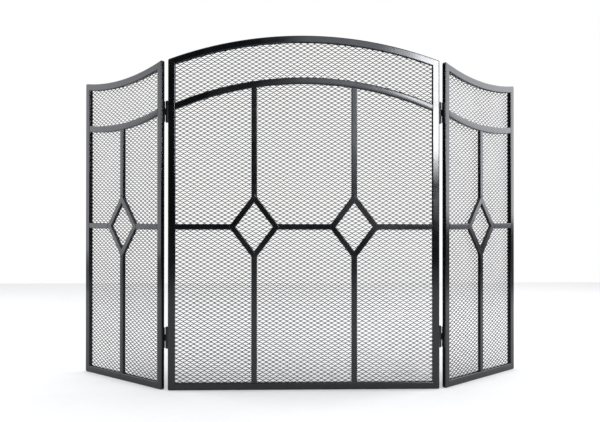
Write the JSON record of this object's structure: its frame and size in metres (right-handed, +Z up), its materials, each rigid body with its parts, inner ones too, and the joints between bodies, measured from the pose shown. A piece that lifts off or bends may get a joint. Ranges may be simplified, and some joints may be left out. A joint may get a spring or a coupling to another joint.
{
  "type": "fireplace screen",
  "caption": "Folding fireplace screen: an arched centre panel between hinged swept wings, with black tube frames, diamond lattice bars and wire mesh behind.",
  "frame": {"origin": "middle of the underside of the centre panel's bottom rail, halfway through its depth", "axes": "+X to the viewer's right along the centre panel, +Y from the front towards the fire, +Z up; the wings stand back towards +Y"},
  "size_m": [1.0816, 0.2114, 0.795],
  "materials": {
    "frame_steel": "satin black enamel on rounded steel tube",
    "lattice_steel": "satin black enamel on flat steel bar",
    "wire_mesh": "semi-gloss black enamel on steel wire mesh",
    "strip_steel": "satin black enamel on flat strip",
    "hinge_steel": "semi-gloss black enamel, rubbed at the knuckles",
    "fastener_steel": "black zinc plated steel"
  },
  "bodies": {
    "centre": {"centre_bottom_rail": "frame_steel", "centre_hinge_rivets": "fastener_steel", "centre_inner_arch": "lattice_steel", "centre_left_cross_bar": "lattice_steel", "centre_left_diamond": "lattice_steel", "centre_left_lower_upright": "lattice_steel", "centre_left_stile": "frame_steel", "centre_left_upper_upright": "lattice_steel", "centre_mesh": "wire_mesh", "centre_mesh_strips": "strip_steel", "centre_middle_cross_bar": "lattice_steel", "centre_right_cross_bar": "lattice_steel", "centre_right_diamond": "lattice_steel", "centre_right_lower_upright": "lattice_steel", "centre_right_stile": "frame_steel", "centre_right_upper_upright": "lattice_steel", "centre_strip_screws": "fastener_steel", "centre_top_arch": "frame_steel", "left_lower_hinge_centre_leaf": "hinge_steel", "left_lower_hinge_pin": "hinge_steel", "left_upper_hinge_centre_leaf": "hinge_steel", "left_upper_hinge_pin": "hinge_steel", "right_lower_hinge_centre_leaf": "hinge_steel", "right_lower_hinge_pin": "hinge_steel", "right_upper_hinge_centre_leaf": "hinge_steel", "right_upper_hinge_pin": "hinge_steel"},
    "left_wing": {"left_lower_hinge_wing_leaf": "hinge_steel", "left_upper_hinge_wing_leaf": "hinge_steel", "left_wing_bottom_rail": "frame_steel", "left_wing_diamond": "lattice_steel", "left_wing_hinge_rivets": "fastener_steel", "left_wing_hinge_stile": "frame_steel", "left_wing_inner_cross_bar": "lattice_steel", "left_wing_inner_rail": "lattice_steel", "left_wing_lower_upright": "lattice_steel", "left_wing_mesh": "wire_mesh", "left_wing_mesh_strips": "strip_steel", "left_wing_outer_cross_bar": "lattice_steel", "left_wing_outer_stile": "frame_steel", "left_wing_strip_screws": "fastener_steel", "left_wing_top_rail": "frame_steel", "left_wing_upper_upright": "lattice_steel"},
    "right_wing": {"right_lower_hinge_wing_leaf": "hinge_steel", "right_upper_hinge_wing_leaf": "hinge_steel", "right_wing_bottom_rail": "frame_steel", "right_wing_diamond": "lattice_steel", "right_wing_hinge_rivets": "fastener_steel", "right_wing_hinge_stile": "frame_steel", "right_wing_inner_cross_bar": "lattice_steel", "right_wing_inner_rail": "lattice_steel", "right_wing_lower_upright": "lattice_steel", "right_wing_mesh": "wire_mesh", "right_wing_mesh_strips": "strip_steel", "right_wing_outer_cross_bar": "lattice_steel", "right_wing_outer_stile": "frame_steel", "right_wing_strip_screws": "fastener_steel", "right_wing_top_rail": "frame_steel", "right_wing_upper_upright": "lattice_steel"}
  },
  "joints": [
    {"name": "left_wing_hinge", "type": "hinge", "parent": "centre", "child": "left_wing", "pos_m": [-0.3085, 0.00875, 0], "axis": [0, 0, -1], "range_deg": [-47, 138]},
    {"name": "right_wing_hinge", "type": "hinge", "parent": "centre", "child": "right_wing", "pos_m": [0.3085, 0.00875, 0], "axis": [0, 0, 1], "range_deg": [-47, 138]}
  ]
}
